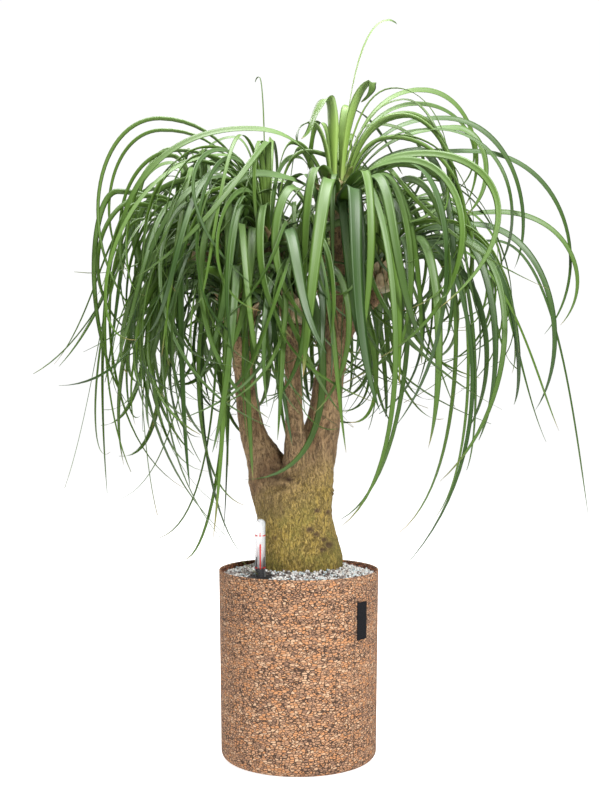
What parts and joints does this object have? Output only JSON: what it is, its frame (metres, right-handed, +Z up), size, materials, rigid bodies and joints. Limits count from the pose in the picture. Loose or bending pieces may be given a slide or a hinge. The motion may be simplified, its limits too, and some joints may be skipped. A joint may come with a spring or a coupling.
{
  "type": "potted ponytail palm",
  "caption": "Ponytail palm: long arching ribbon leaves in tufts on a forked trunk with a swollen foot, in a round cork-faced planter with mineral granules and a water gauge.",
  "frame": {"origin": "middle of the planter's underside, on the floor", "axes": "+Z up along the planter's axis, the front seen in the picture faces -Y, +X to the right"},
  "size_m": [1.2151, 0.8117, 1.5568],
  "materials": {
    "cork": "pressed cork granules, matt",
    "tag": "black, bare",
    "liner": "black moulded",
    "granules": "loose mineral granules, grey and white",
    "gauge_black": "black moulded",
    "gauge_clear": "clear",
    "gauge_red": "red",
    "bark": "fibrous, cracked, mossy at the foot",
    "leaf": "smooth leaf with fine lengthwise veins"
  },
  "bodies": {
    "holder": {"planter_shell": "cork", "label_tag": "tag", "insert_liner": "liner", "substrate": "granules", "gauge_shaft": "gauge_black", "gauge_tube": "gauge_clear", "trunk": "bark", "crown_main": "leaf", "crown_left_front": "leaf", "crown_left_outer": "leaf", "crown_left_low": "leaf", "crown_right": "leaf", "crown_back": "leaf", "crown_centre": "leaf"},
    "float": {"gauge_float": "gauge_red"}
  },
  "joints": [
    {"name": "float_slide", "type": "slide", "parent": "holder", "child": "float", "axis": [0, 0, 1], "range_m": [-0.047, 0.018]}
  ]
}
